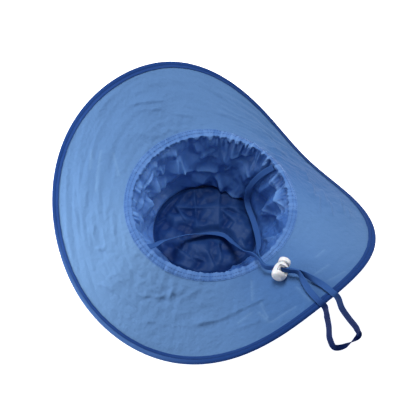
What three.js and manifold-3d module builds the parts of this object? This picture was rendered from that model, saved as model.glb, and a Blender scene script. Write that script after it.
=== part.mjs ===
// Foldable sun hat of thin cloth, lying upside down on its crown with the head opening up.
// Millimetres, +Z up, the floor at z = 0. The origin is on the floor under the middle of the hat.
// X runs through the two sides where the chin strap is sewn in, -Y is the side with the cord lock.
import * as THREE from 'three';
import Module from 'manifold-3d';
import { mergeVertices } from 'three/addons/utils/BufferGeometryUtils.js';

const wasm = await Module();
wasm.setup();

// Driving dimensions. The opening is a 58 cm head's.
const GAP = 0.3;
const CLOTH = 1.2;
const OPENING = { x: 8.5, y: -0.4, z: 84, radius: 92 };
const TAPE = { thick: 1, width: 8, leg: 5.3 };
const BRIM = { radius: OPENING.radius + 2.2, width: 99.4 };
const BINDING = { thick: 1, width: 5.4, bead: 2 };
const TIP = { x: 7.3, y: 8, radius: 66, thick: 1.2 };
const LOCK = { turn: 270.3, along: 38.4, lift: 8.9, swing: 31.3 };
const BARREL = { radius: 8.5, bottom: -9, top: 8.4, bore: 6.5, floor: -6.6 };
const BUTTON = { radius: 6.2, head: 6.8, bottom: -3.8, neckTop: 11.4, top: 17.5, travel: 2.4 };
const SLOT = { width: 8.2, foot: -1.4, low: 0.6, high: 6.3 };
const STRAP = { width: 7, thick: 1.2, steps: 80, exitReach: 9, entryReach: 20 };
const SEGMENTS = 84;
const LOCK_SIDES = 24;

const UP = new THREE.Vector3(0, 0, 1);
const rad = THREE.MathUtils.degToRad;
const lerp = THREE.MathUtils.lerp;
const smooth = (value, from, to) => THREE.MathUtils.smoothstep(value, from, to);
// The signed angle from one turn to another, at most half a turn.
const turnFrom = (turn, start) => Math.atan2(Math.sin(turn - start), Math.cos(turn - start));

// The hoop pulls the brim into a saddle: its slope in degrees, as waves counted round the opening.
const SLOPE_WAVES = [
  { count: 0, cosine: -12.0, sine: 0 },
  { count: 1, cosine: -3.8, sine: -1.9 },
  { count: 2, cosine: -29.6, sine: 0 },
  { count: 3, cosine: -4.5, sine: -1.3 },
  { count: 4, cosine: 2.0, sine: -0.4 },
];

// Tension folds and dents in the brim's cloth. turn and heading are in degrees, heading is
// measured from the outward line, and the rest is in mm: along is the distance out from the opening.
const BRIM_FOLDS = [
  { turn: 20, along: 50, heading: 66, length: 60, width: 9, height: 2.2 },
  { turn: 12, along: 26, heading: 58, length: 50, width: 8, height: -1.8 },
  { turn: 50, along: 62, heading: 70, length: 46, width: 10, height: -1.6 },
  { turn: 82, along: 56, heading: 40, length: 34, width: 11, height: 2.4 },
  { turn: 100, along: 70, heading: 15, length: 30, width: 12, height: -1.8 },
  { turn: 128, along: 60, heading: 78, length: 42, width: 12, height: 2.0 },
  { turn: 163, along: 50, heading: 60, length: 26, width: 12, height: -3.0 },
  { turn: 182, along: 42, heading: 20, length: 32, width: 12, height: 2.4 },
  { turn: 210, along: 38, heading: 75, length: 34, width: 12, height: -1.8 },
  { turn: 236, along: 56, heading: 84, length: 40, width: 12, height: -2.2 },
  { turn: 318, along: 48, heading: 10, length: 44, width: 12, height: 1.8 },
  { turn: 340, along: 60, heading: 45, length: 36, width: 12, height: -2.0 },
];

// Soft folds in the crown's wall: turn and span in degrees, share from the opening down to the
// round panel, depth in mm outwards.
const WALL_FOLDS = [
  { turn: 30, span: 9, share: 0.5, reach: 0.35, depth: -3.4 },
  { turn: 54, span: 16, share: 0.38, reach: 0.18, depth: 4.4 },
  { turn: 84, span: 7, share: 0.36, reach: 0.3, depth: -4.4 },
  { turn: 104, span: 8, share: 0.5, reach: 0.4, depth: 3.2 },
  { turn: 126, span: 6, share: 0.5, reach: 0.4, depth: -3.6 },
  { turn: 150, span: 9, share: 0.55, reach: 0.36, depth: 3.0 },
  { turn: 205, span: 10, share: 0.5, reach: 0.4, depth: -3.0 },
  { turn: 240, span: 12, share: 0.5, reach: 0.4, depth: 3.2 },
  { turn: 318, span: 9, share: 0.45, reach: 0.35, depth: 4.0 },
  { turn: 338, span: 7, share: 0.4, reach: 0.35, depth: -3.0 },
];

// Creases pressed into the crown's round top panel where the hat was folded, places in mm.
const TIP_CREASES = [
  { x: 22, y: 6, heading: 53, length: 60, width: 7, height: 1.1 },
  { x: -6, y: 24, heading: -37, length: 60, width: 7, height: 0.9 },
  { x: -28, y: -20, heading: 20, length: 40, width: 9, height: 0.8 },
  { x: 30, y: -26, heading: -70, length: 34, width: 8, height: 1.0 },
];

// The chin strap's middle line. lean turns the ribbon about its line: 0 is flat, 90 on edge.
const LEFT_STRAND = [
  { x: -82.2, y: -2.4, z: 79, lean: -26 },
  { x: -71, y: 2.6, z: 63, lean: 0 },
  { x: -54, y: 9.2, z: 44, lean: 35 },
  { x: -32, y: 12.4, z: 23, lean: 60 },
  { x: -8, y: 8.4, z: 9.5, lean: 60 },
  { x: 18, y: -9.5, z: 6, lean: 20 },
  { x: 19, y: -34, z: 18, lean: 35 },
  { x: 12.4, y: -65, z: 51, lean: 60 },
  { x: 6, y: -87, z: 86, lean: 75 },
  { x: 3.4, y: -98.6, z: 96, lean: 90 },
];
const LOOP = [
  { x: 20.6, y: -154, z: 112, lean: 135 },
  { x: 18, y: -166, z: 114.4, lean: 165 },
  { x: 16.4, y: -180, z: 118.6, lean: 178 },
  { x: 15.7, y: -187.4, z: 121.8, lean: 180 },
  { x: 16.1, y: -191.2, z: 122.2, lean: 172 },
  { x: 17.2, y: -193.8, z: 118.6, lean: 140 },
  { x: 20.6, y: -196.2, z: 95, lean: 112 },
  { x: 25.4, y: -198.8, z: 62, lean: 118 },
  { x: 28.8, y: -202.2, z: 26, lean: 128 },
  { x: 34, y: -208.6, z: 6.4, lean: 158 },
  { x: 47, y: -213.4, z: 2.8, lean: 160 },
  { x: 64.6, y: -213.8, z: 7.4, lean: 95 },
  { x: 61.4, y: -211, z: 28, lean: 64 },
  { x: 50, y: -204.6, z: 62, lean: 60 },
  { x: 40.8, y: -198.2, z: 92, lean: 61 },
  { x: 36.2, y: -193.8, z: 116, lean: 42 },
  { x: 34.6, y: -190.8, z: 121.4, lean: 6 },
  { x: 33.8, y: -186, z: 121, lean: 0 },
  { x: 33.6, y: -174, z: 117, lean: 5 },
  { x: 30.6, y: -160, z: 114, lean: 35 },
];
const RIGHT_STRAND = [
  { x: 5.4, y: -97.8, z: 96, lean: 90 },
  { x: 11, y: -86, z: 84, lean: 70 },
  { x: 27, y: -70, z: 56, lean: 45 },
  { x: 45, y: -46, z: 29, lean: 25 },
  { x: 60, y: -20, z: 11, lean: 10 },
  { x: 69, y: 3, z: 9.5, lean: 0 },
  { x: 75.2, y: 10.2, z: 27, lean: -10 },
  { x: 86.8, y: 5.6, z: 55, lean: -30 },
  { x: 98.8, y: -5.2, z: 79, lean: -41 },
];

const brimSlope = (turn) => SLOPE_WAVES.reduce((sum, wave) => sum
  + rad(wave.cosine) * Math.cos(wave.count * turn)
  + rad(wave.sine) * Math.sin(wave.count * turn), 0);

// A soft ridge or dent: full height on its line, fading over its length and width.
function ridge(row, across, outward) {
  const heading = rad(row.heading);
  const down = outward * Math.cos(heading) + across * Math.sin(heading);
  const aside = across * Math.cos(heading) - outward * Math.sin(heading);
  return row.height * Math.exp(-((2 * down / row.length) ** 2) - (aside / row.width) ** 2);
}

// Height of the folds in the brim, none where it is held by the tape and the binding.
function brimFold(turn, along) {
  const held = smooth(along, TAPE.width, 30) * (1 - smooth(along, BRIM.width - 30, BRIM.width - 12));
  const reach = BRIM.radius + along;
  return held * BRIM_FOLDS.reduce((sum, row) => {
    const away = turnFrom(turn, rad(row.turn));
    return sum + ridge(row, away * reach, along - row.along);
  }, 0);
}

// A place on the brim: along is measured out from the opening, lift stands off its upper face.
function onBrim(turn, along, lift) {
  const slope = brimSlope(turn);
  const raised = lift + brimFold(turn, along);
  const radius = BRIM.radius + along * Math.cos(slope) - raised * Math.sin(slope);
  return aroundOpening(turn, radius, OPENING.z + along * Math.sin(slope) + raised * Math.cos(slope));
}

function aroundOpening(turn, radius, z) {
  return new THREE.Vector3(
    OPENING.x + radius * Math.cos(turn),
    OPENING.y + radius * Math.sin(turn),
    z,
  );
}

function material(color, roughness) {
  return new THREE.MeshStandardMaterial({ color, roughness, metalness: 0 });
}

function named(name, geometry, finish) {
  const mesh = new THREE.Mesh(geometry, finish);
  mesh.name = name;
  return mesh;
}

function mergedGeometry(geometry) {
  geometry.deleteAttribute('normal');
  geometry.deleteAttribute('uv');
  const merged = mergeVertices(geometry, 1e-4);
  merged.computeVertexNormals();
  return merged;
}

// A closed ring: a plain section turned round the axis, then each corner put in its own place.
// Every quad is split from its inner corner to the next turn's outer one, so that
// the faces of nested rings stay parallel.
function ring(corners, place) {
  const outline = [...corners, corners[0]];
  const points = outline.map(([u, v]) => new THREE.Vector2(u, v));
  const geometry = new THREE.LatheGeometry(points, SEGMENTS);
  const position = geometry.attributes.position;
  const faces = [];
  for (let vertex = 0; vertex < position.count; vertex++) {
    const segment = Math.floor(vertex / outline.length);
    const corner = vertex % outline.length;
    const turn = 2 * Math.PI * (segment % SEGMENTS) / SEGMENTS;
    const spot = place(turn, ...outline[corner]);
    position.setXYZ(vertex, spot.x, spot.y, spot.z);
    if (segment < SEGMENTS && corner < corners.length) {
      const next = vertex + outline.length;
      faces.push(...(outline[corner + 1][0] > outline[corner][0]
        ? [vertex, next, next + 1, vertex, next + 1, vertex + 1]
        : [vertex, next, vertex + 1, next + 1, vertex + 1, next]));
    }
  }
  geometry.setIndex(faces);
  return mergedGeometry(geometry);
}

// The brim: one layer of cloth between the opening and the hoop.
function makeBrim() {
  const bindingStart = BRIM.width - BINDING.width;
  const rows = [0, TAPE.width, 24, 41, 58, 75, bindingStart, BRIM.width];
  const lower = rows.map((along) => [along, -CLOTH]);
  const upper = rows.map((along) => [along, 0]).reverse();
  return named('brim', ring([...lower, ...upper], onBrim), material(0x4a74b4, 0.6));
}

// Tape folded round the brim's edge, with a round bead where it covers the hoop.
function makeBinding() {
  const inside = GAP;
  const outside = GAP + BINDING.thick;
  const start = BRIM.width - BINDING.width;
  const middle = -CLOTH / 2;
  const shoulder = BRIM.width + BINDING.bead - 0.4;
  const corners = [
    [start, -CLOTH - outside],
    [shoulder, middle - BINDING.bead],
    [shoulder + 1.4, middle - BINDING.bead * 0.7],
    [shoulder + BINDING.bead, middle],
    [shoulder + 1.4, middle + BINDING.bead * 0.7],
    [shoulder, middle + BINDING.bead],
    [start, outside],
    [start, inside],
    [BRIM.width + inside, inside],
    [BRIM.width + inside, -CLOTH - inside],
    [start, -CLOTH - inside],
  ];
  return named('brim_binding', ring(corners, onBrim), material(0x27448c, 0.65));
}

// Seam tape round the opening: a flange on the brim, folded over its edge into a short leg.
// The flange's corners have a lift off the brim, and the leg's have a height above the floor.
function makeOpeningTape() {
  const legInner = OPENING.radius - BRIM.radius;
  const legOuter = legInner + TAPE.thick;
  const legTop = OPENING.z + 0.8;
  const corners = [
    [legInner, legTop - TAPE.leg],
    [legOuter, legTop - TAPE.leg],
    [legOuter, OPENING.z + 0.2],
    [0, GAP + 0.1],
    [TAPE.width, GAP],
    [TAPE.width, GAP + TAPE.thick],
    [0, GAP + TAPE.thick + 0.1],
    [legInner, legTop],
  ];
  const place = (turn, along, height) => (along < 0
    ? aroundOpening(turn, BRIM.radius + along, height)
    : onBrim(turn, along, height));
  return named('opening_tape', ring(corners, place), material(0x6788bb, 0.65));
}

// Upper edge of the crown's wall, kept just under the brim's sloping lower face.
function wallTop(turn, radius) {
  const slope = brimSlope(turn);
  const under = CLOTH + GAP;
  const cornerRadius = BRIM.radius + under * Math.sin(slope);
  const cornerHeight = OPENING.z - under * Math.cos(slope);
  const below = cornerHeight + (radius - cornerRadius) * Math.tan(slope);
  return Math.min(OPENING.z - under, below - 0.1);
}

// Upright gathers and folds in the crown's wall. They die out at both seams.
function wallFold(turn, share) {
  const gathers = 1.4 * Math.sin(16 * turn + 1.2 * Math.sin(3 * turn));
  const folds = WALL_FOLDS.reduce((sum, row) => {
    const across = turnFrom(turn, rad(row.turn)) / rad(row.span);
    const down = (share - row.share) / row.reach;
    return sum + row.depth * Math.exp(-(across ** 2) - down ** 2);
  }, 0);
  return (gathers + folds) * Math.sin(Math.PI * share) ** 0.8;
}

// The crown's side panel, from the opening down to the round panel that it stands on.
function makeCrownWall() {
  const topRadius = OPENING.radius + TAPE.thick + GAP;
  const footRadius = TIP.radius - CLOTH - 0.3;
  const foot = TIP.thick + GAP;
  const straight = 0.07;
  const rows = 6;
  const place = (turn, share, skin) => {
    const shift = smooth(share, 0, 1);
    const taper = Math.max(0, share - straight) / (1 - straight);
    const radius = lerp(topRadius, footRadius, taper ** 0.92) + wallFold(turn, taper) + skin;
    const z = lerp(wallTop(turn, topRadius + CLOTH), foot, share);
    return new THREE.Vector3(
      lerp(OPENING.x, TIP.x, shift) + radius * Math.cos(turn),
      lerp(OPENING.y, TIP.y, shift) + radius * Math.sin(turn),
      z,
    );
  };
  const outerSide = [];
  const innerSide = [];
  for (let row = 0; row <= rows; row++) {
    const share = row === 1 ? straight : row / rows;
    outerSide.unshift([share, CLOTH]);
    innerSide.push([share, 0]);
  }
  return named('crown_wall', ring([...outerSide, ...innerSide], place), material(0x2f559f, 0.6));
}

// The crown's round top panel, flat on the floor, with fold creases on its upper face.
function makeCrownTip() {
  const underside = [0, 1];
  const shares = [...underside, 1, 0.82, 0.62, 0.4, 0.2, 0];
  const points = shares.map((share) => new THREE.Vector2(TIP.radius * share, 0));
  const geometry = new THREE.LatheGeometry(points, SEGMENTS);
  const position = geometry.attributes.position;
  for (let vertex = 0; vertex < position.count; vertex++) {
    const corner = vertex % shares.length;
    const segment = Math.floor(vertex / shares.length) % SEGMENTS;
    const turn = 2 * Math.PI * segment / SEGMENTS;
    const x = TIP.radius * shares[corner] * Math.cos(turn);
    const y = TIP.radius * shares[corner] * Math.sin(turn);
    const free = 1 - smooth(shares[corner], 0.7, 0.95);
    const crease = TIP_CREASES.reduce((sum, row) => sum + ridge(row, x - row.x, y - row.y), 0);
    const z = corner < underside.length ? 0 : TIP.thick + free * crease;
    position.setXYZ(vertex, TIP.x + x, TIP.y + y, z);
  }
  return named('crown_tip', mergedGeometry(geometry), material(0x1b2b5c, 0.65));
}

// Place of the cord lock: X is the way the strap runs through it, Y its barrel's axis.
function lockMatrix() {
  const turn = rad(LOCK.turn);
  const slope = brimSlope(turn);
  const swing = rad(LOCK.swing);
  const out = new THREE.Vector3(
    Math.cos(slope) * Math.cos(turn),
    Math.cos(slope) * Math.sin(turn),
    Math.sin(slope),
  );
  const round = new THREE.Vector3(-Math.sin(turn), Math.cos(turn), 0);
  const through = out.clone().multiplyScalar(Math.cos(swing)).addScaledVector(round, Math.sin(swing));
  const axis = round.clone().multiplyScalar(Math.cos(swing)).addScaledVector(out, -Math.sin(swing));
  const matrix = new THREE.Matrix4().makeBasis(through, axis, through.clone().cross(axis));
  return matrix.setPosition(onBrim(turn, LOCK.along, LOCK.lift));
}

function solidOf(geometry) {
  const merged = mergedGeometry(geometry);
  return new wasm.Manifold(new wasm.Mesh({
    numProp: 3,
    vertProperties: merged.attributes.position.array,
    triVerts: new Uint32Array(merged.index.array),
  }));
}

function geometryOf(solid) {
  const mesh = solid.getMesh();
  const geometry = new THREE.BufferGeometry();
  geometry.setAttribute('position', new THREE.BufferAttribute(mesh.vertProperties, 3));
  geometry.setIndex(new THREE.BufferAttribute(mesh.triVerts, 1));
  geometry.computeVertexNormals();
  return geometry;
}

// Cross hole for the two strands, a round-cornered slot that runs along X.
function slotTool(low, high) {
  const half = SLOT.width / 2;
  const corner = 1.2;
  const shape = new THREE.Shape();
  shape.absarc(half - corner, high - corner, corner, 0, Math.PI / 2);
  shape.absarc(-half + corner, high - corner, corner, Math.PI / 2, Math.PI);
  shape.absarc(-half + corner, low + corner, corner, Math.PI, 1.5 * Math.PI);
  shape.absarc(half - corner, low + corner, corner, 1.5 * Math.PI, 2 * Math.PI);
  const depth = 3 * BARREL.radius;
  const tool = new THREE.ExtrudeGeometry(shape, { depth, bevelEnabled: false, curveSegments: 3 });
  tool.translate(0, 0, -depth / 2);
  tool.rotateY(Math.PI / 2);
  return solidOf(tool);
}

function turned(rows) {
  return new THREE.LatheGeometry(rows.map(([r, y]) => new THREE.Vector2(r, y)), LOCK_SIDES);
}

// The lock's barrel: round-shouldered, with a blind bore for the plunger and a cross hole that
// reaches below the plunger's own.
function makeLockBody(finish) {
  const wide = BARREL.radius;
  const outline = turned([
    [0, BARREL.bottom],
    [wide - 3.6, BARREL.bottom],
    [wide - 1.4, BARREL.bottom + 1.5],
    [wide - 0.2, BARREL.bottom + 4.2],
    [wide, BARREL.bottom + 7.5],
    [wide - 0.2, BARREL.top - 4.6],
    [wide - 0.8, BARREL.top - 1.2],
    [wide - 1.4, BARREL.top],
    [BARREL.bore, BARREL.top],
    [BARREL.bore, BARREL.floor],
    [0, BARREL.floor],
  ]);
  const solid = solidOf(outline).subtract(slotTool(SLOT.foot, SLOT.high));
  return named('cord_lock_body', geometryOf(solid), finish);
}

// The plunger with its head. Its cross hole sits higher by the travel, which grips the strap.
function makeLockButton(finish) {
  const outline = turned([
    [0, BUTTON.bottom],
    [BUTTON.radius, BUTTON.bottom],
    [BUTTON.radius, BUTTON.neckTop],
    [BUTTON.head, BUTTON.neckTop],
    [BUTTON.head, BUTTON.top - 0.9],
    [BUTTON.head - 0.9, BUTTON.top],
    [0, BUTTON.top],
  ]);
  const solid = solidOf(outline).subtract(slotTool(
    SLOT.low + BUTTON.travel,
    SLOT.high + BUTTON.travel + 0.9,
  ));
  return named('cord_lock_button', geometryOf(solid), finish);
}

function makeLock() {
  const group = new THREE.Group();
  const white = material(0xf2f2f4, 0.35);
  group.applyMatrix4(lockMatrix());
  group.add(makeLockBody(white), makeLockButton(white));
  return group;
}

// Rows of the strap's line through the lock, on edge, seat mm along the barrel's axis.
function lockRows(seat, reaches) {
  const matrix = lockMatrix();
  const ahead = new THREE.Vector3().setFromMatrixColumn(matrix, 0);
  ahead.multiplyScalar(Math.sign(reaches.at(-1) - reaches[0]));
  const normal = new THREE.Vector3().setFromMatrixColumn(matrix, 2);
  const side = ahead.clone().cross(UP).normalize();
  const rise = side.clone().cross(ahead);
  const lean = THREE.MathUtils.radToDeg(Math.atan2(normal.dot(rise), normal.dot(side)));
  return reaches.map((reach) => {
    const spot = new THREE.Vector3(reach, seat, 0).applyMatrix4(matrix);
    return { x: spot.x, y: spot.y, z: spot.z, lean };
  });
}

// A smooth line that carries a flat ribbon: each frame's normal is the ribbon's width.
// The steps follow the rows, so they are close where the rows are.
class RibbonPath extends THREE.CatmullRomCurve3 {
  constructor(rows) {
    super(rows.map(({ x, y, z }) => new THREE.Vector3(x, y, z)));
    this.leans = rows.map(({ lean }) => lean);
  }

  leanAt(share) {
    const spot = share * (this.leans.length - 1);
    const row = Math.min(Math.floor(spot), this.leans.length - 2);
    return rad(lerp(this.leans[row], this.leans[row + 1], spot - row));
  }

  getSpacedPoints(steps) {
    return this.getPoints(steps);
  }

  computeFrenetFrames(steps) {
    const frames = { tangents: [], normals: [], binormals: [] };
    for (let step = 0; step <= steps; step++) {
      const tangent = this.getTangent(step / steps);
      const side = tangent.clone().cross(UP).normalize();
      const rise = side.clone().cross(tangent);
      const lean = this.leanAt(step / steps);
      const width = side.multiplyScalar(Math.cos(lean)).addScaledVector(rise, Math.sin(lean));
      frames.tangents.push(tangent);
      frames.normals.push(width);
      frames.binormals.push(tangent.clone().cross(width));
    }
    return frames;
  }
}

// The chin strap: from the left side, out through the lock, round the loop and back to the right.
function makeStrap() {
  const seat = (SLOT.low + BUTTON.travel + SLOT.high) / 2;
  const apart = (STRAP.thick + GAP) / 2;
  const { exitReach, entryReach } = STRAP;
  const outward = [-entryReach, -exitReach, exitReach, entryReach];
  const path = new RibbonPath([
    ...LEFT_STRAND,
    ...lockRows(seat - apart, outward),
    ...LOOP,
    ...lockRows(seat + apart, outward.toReversed()),
    ...RIGHT_STRAND,
  ]);
  const wide = STRAP.width / 2;
  const deep = STRAP.thick / 2;
  const shape = new THREE.Shape([
    new THREE.Vector2(wide, -deep + 0.3),
    new THREE.Vector2(wide, deep - 0.3),
    new THREE.Vector2(wide - 0.3, deep),
    new THREE.Vector2(-wide + 0.3, deep),
    new THREE.Vector2(-wide, deep - 0.3),
    new THREE.Vector2(-wide, -deep + 0.3),
    new THREE.Vector2(-wide + 0.3, -deep),
    new THREE.Vector2(wide - 0.3, -deep),
  ]);
  const settings = { steps: STRAP.steps, extrudePath: path, bevelEnabled: false };
  const geometry = new THREE.ExtrudeGeometry(shape, settings);
  return named('chin_strap', geometry, material(0x2a4488, 0.6));
}

const hat = new THREE.Group();
hat.add(
  makeCrownTip(),
  makeCrownWall(),
  makeBrim(),
  makeBinding(),
  makeOpeningTape(),
  makeStrap(),
  makeLock(),
);

export default hat;
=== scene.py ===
from math import copysign, cos, hypot, pi, radians, sin

import bmesh
import bpy
import numpy as np
from mathutils import Matrix, Vector, kdtree, noise


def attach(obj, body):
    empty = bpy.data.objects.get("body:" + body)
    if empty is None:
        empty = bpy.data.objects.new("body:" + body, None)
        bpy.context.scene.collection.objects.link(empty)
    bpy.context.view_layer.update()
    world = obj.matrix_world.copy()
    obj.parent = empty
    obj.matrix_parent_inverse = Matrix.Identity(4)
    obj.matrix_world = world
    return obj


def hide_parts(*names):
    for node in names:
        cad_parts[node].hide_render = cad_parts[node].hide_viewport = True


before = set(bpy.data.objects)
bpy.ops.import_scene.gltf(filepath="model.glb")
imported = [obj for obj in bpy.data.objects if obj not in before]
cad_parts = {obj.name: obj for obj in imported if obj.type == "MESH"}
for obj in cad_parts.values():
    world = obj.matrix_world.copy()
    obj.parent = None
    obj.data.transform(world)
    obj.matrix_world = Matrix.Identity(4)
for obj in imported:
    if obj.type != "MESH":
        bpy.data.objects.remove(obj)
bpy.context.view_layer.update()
scene = bpy.context.scene

# The camera.
# It looks down on the hat from its front left, 61 degrees above the floor and 1.3 m away,
# so that the sprung brim fills the square picture and the strap's loop hangs out of it.
camera_turn, camera_height, camera_away = -127, 61, 1.3
camera_aim = Vector((0.00325, -0.00651, 0.07954))


def pointing(turn, height):
    """The way up from the floor's middle, at a turn and a height in degrees."""
    turn, height = radians(turn), radians(height)
    return Vector((cos(turn) * cos(height), sin(turn) * cos(height), sin(height)))


lens = bpy.data.cameras.new("photo_lens")
lens.sensor_width = 36
lens.lens = 95.238
camera = bpy.data.objects.new("photo_camera", lens)
camera_back = pointing(camera_turn, camera_height)
camera.location = camera_aim + camera_away * camera_back
camera.rotation_euler = camera_back.to_track_quat("Z", "Y").to_euler()
scene.collection.objects.link(camera)
scene.camera = camera


# The chin strap.
# One soft woven ribbon 7 mm wide and about a metre long. Its ends are sewn under the seam tape
# at the wearer's ears, and both strands run through the cord lock and out in a loop.

# Its middle line: x, y and z in millimetres, and the lean in degrees, which is 0 where the ribbon
# is flat and 90 where it stands on edge. It is the CAD strap's line, except that the loop's foot
# leans differently in two rows and lies 0.9 mm higher in one, so that the ribbon twists there.
strap_points = [
    (-82.2, -2.4, 79, -26),
    (-71, 2.6, 63, 0),
    (-54, 9.2, 44, 35),
    (-32, 12.4, 23, 60),
    (-8, 8.4, 9.5, 60),
    (18, -9.5, 6, 20),
    (19, -34, 18, 35),
    (12.4, -65, 51, 60),
    (6, -87, 86, 75),
    (3.4, -98.6, 96, 90),
    (2.01, -109.65, 99.02, 100.8),
    (7.77, -118.44, 102.27, 100.8),
    (17.2, -132.82, 107.59, 100.8),
    (22.96, -141.61, 110.85, 100.8),
    (20.6, -154, 112, 135),
    (18, -166, 114.4, 165),
    (16.4, -180, 118.6, 178),
    (15.7, -187.4, 121.8, 180),
    (16.1, -191.2, 122.2, 172),
    (17.2, -193.8, 118.6, 140),
    (20.6, -196.2, 95, 112),
    (25.4, -198.8, 62, 118),
    (28.8, -202.2, 26, 128),
    (34, -208.6, 6.4, 158),
    (47, -213.4, 3.7, 115),
    (64.6, -213.8, 7.4, 5),
    (61.4, -211, 28, 64),
    (50, -204.6, 62, 60),
    (40.8, -198.2, 92, 61),
    (36.2, -193.8, 116, 42),
    (34.6, -190.8, 121.4, 6),
    (33.8, -186, 121, 0),
    (33.6, -174, 117, 5),
    (30.6, -160, 114, 35),
    (24.24, -140.87, 110.58, 79.2),
    (18.48, -132.08, 107.33, 79.2),
    (9.05, -117.7, 102, 79.2),
    (3.29, -108.91, 98.75, 79.2),
    (5.4, -97.8, 96, 90),
    (11, -86, 84, 70),
    (27, -70, 56, 45),
    (45, -46, 29, 25),
    (60, -20, 11, 10),
    (69, 3, 9.5, 0),
    (75.2, 10.2, 27, -10),
    (86.8, 5.6, 55, -30),
    (98.8, -5.2, 79, -41),
]
strap_rows = [(x / 1000, y / 1000, z / 1000, lean) for x, y, z, lean in strap_points]
strap_steps, strap_width, strap_thickness = 700, 0.007, 0.0008


def mixed(low, high, share):
    return low + (high - low) * share


def strap_line(share):
    """The place on the strap's line, the way it runs and its lean, from its left end to its right."""
    along = min(share, 1 - 1e-9) * (len(strap_rows) - 1)
    row = int(along)
    rest = along - row
    spots = [Vector(spot[:3]) for spot in strap_rows[max(row - 1, 0):row + 3]]
    near, far = spots[min(row, 1)], spots[min(row, 1) + 1]
    before = spots[0] if row else near + near - far
    after = spots[-1] if row + 2 < len(strap_rows) else far + far - near
    pairs = (before, near), (near, far), (far, after)
    step_in, step, step_out = ((b - a).length ** 0.5 for a, b in pairs)
    leave = step * ((near - before) / step_in - (far - before) / (step_in + step) + (far - near) / step)
    arrive = step * ((far - near) / step - (after - near) / (step + step_out) + (after - far) / step_out)
    square = -3 * near + 3 * far - 2 * leave - arrive
    cube = 2 * near - 2 * far + leave + arrive
    place = near + leave * rest + square * rest**2 + cube * rest**3
    way = leave + 2 * square * rest + 3 * cube * rest**2
    return place, way.normalized(), radians(mixed(strap_rows[row][3], strap_rows[row + 1][3], rest))


def strap_across(way, lean):
    """The way across the ribbon, from its left edge to its right one."""
    side = way.cross(Vector((0, 0, 1))).normalized()
    return side * cos(lean) + side.cross(way) * sin(lean)


def paint(red, green, blue):
    """A colour as a screen shows it, 0 to 255, for a shader."""
    return tuple(
        (c / 255 / 12.92) if c <= 10 else ((c / 255 + 0.055) / 1.055) ** 2.4 for c in (red, green, blue)
    ) + (1.0,)


def placed(name, mesh, materials=()):
    """Puts a mesh in the scene as an object at the origin."""
    data = bpy.data.meshes.new(name)
    mesh.to_mesh(data)
    mesh.free()
    for material in materials:
        data.materials.append(material)
    piece = bpy.data.objects.new(name, data)
    scene.collection.objects.link(piece)
    return piece


def finished(name, mesh, materials, node=None, body="hat"):
    """Puts a finished mesh in the scene as a smooth piece that moves with a body of the hat."""
    for face in mesh.faces:
        face.smooth = True
    piece = placed(name, mesh, materials)
    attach(piece, body)
    if node:
        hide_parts(node)
    return piece


def laid_cloth(around, across, place, marks_and_light, lengths, closed=True, face_at=(0.25, 0.5), facing=(0, 0, 1)):
    """A flat grid of cloth, laid in place.

    place, marks_and_light and lengths take two arrays, the shares round and across, from 0 to 1.
    marks_and_light gives how far the colour turns paler, 0 to 1, for pale marks and for painted
    light and shade, and lengths the threads' own measure in metres. The cloth's face at the shares
    face_at looks the way that facing gives.
    """
    mesh = bmesh.new()
    threads = mesh.loops.layers.uv.new("threads")
    # The "fold" layer holds that share: pale marks, and painted light and shade.
    fold = mesh.verts.layers.float.new("fold")
    bmesh.ops.create_grid(mesh, x_segments=around, y_segments=across, size=0.5, calc_uvs=False)
    shares = np.array([(vert.co.x + 0.5, vert.co.y + 0.5) for vert in mesh.verts]).T
    cut = np.stack(lengths(*shares), axis=-1)
    for face in mesh.faces:
        for loop in face.loops:
            loop[threads].uv = cut[loop.vert.index]
    for vert, spot, pale in zip(mesh.verts, place(*shares), marks_and_light(*shares)):
        vert.co = spot
        vert[fold] = pale
    if closed:
        bmesh.ops.remove_doubles(mesh, verts=mesh.verts, dist=1e-6)
    mesh.normal_update()
    looked_at = Vector(place(*(np.array([share]) for share in face_at))[0])
    face = min(mesh.faces, key=lambda f: (f.calc_center_median() - looked_at).length)
    if face.normal.dot(Vector(facing)) < 0:
        bmesh.ops.reverse_faces(mesh, faces=mesh.faces)
    return mesh


def thickened(piece, thickness, offset=-1.0):
    """Gives a sheet of cloth its thickness, away from its face."""
    layer = piece.modifiers.new("thickness", "SOLIDIFY")
    layer.thickness = thickness
    layer.offset = offset
    layer.use_even_offset = False
    layer.use_quality_normals = True


def node_group(name, inputs, outputs):
    """An empty shader group with its sockets, by title and kind, and its two end nodes."""
    group = bpy.data.node_groups.new(name, "ShaderNodeTree")
    for way, sockets in (("INPUT", inputs), ("OUTPUT", outputs)):
        for title, kind in sockets.items():
            group.interface.new_socket(title, in_out=way, socket_type="NodeSocket" + kind)
    return group, group.nodes.new("NodeGroupInput"), group.nodes.new("NodeGroupOutput")


def wired(tree, node, sockets):
    """Gives each named socket its value, the output that feeds it, or a node's first output."""
    for key, value in sockets.items():
        if isinstance(value, bpy.types.Node):
            value = value.outputs[0]
        if isinstance(value, bpy.types.NodeSocket):
            tree.links.new(value, node.inputs[key])
        else:
            node.inputs[key].default_value = value
    return node


def added(tree, kind, sockets, **settings):
    """A new shader node with its settings and sockets."""
    made = tree.nodes.new("ShaderNode" + kind)
    for key, value in settings.items():
        setattr(made, key, value)
    return wired(tree, made, sockets)


def maths(tree, operation, *values, **settings):
    return added(tree, "Math", dict(enumerate(values)), operation=operation, **settings)


def blended(tree, share, low, high):
    """The colour between two, by a share."""
    return added(tree, "Mix", {"Factor": share, "A": low, "B": high}, data_type="RGBA").outputs[2]


def new_material(name):
    """A material, its tree and shader, and the place on the object that is being shaded."""
    made = bpy.data.materials.new(name)
    made.use_nodes = True
    tree = made.node_tree
    return made, tree, tree.nodes["Principled BSDF"], added(tree, "TexCoord", {}).outputs["Object"]


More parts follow.
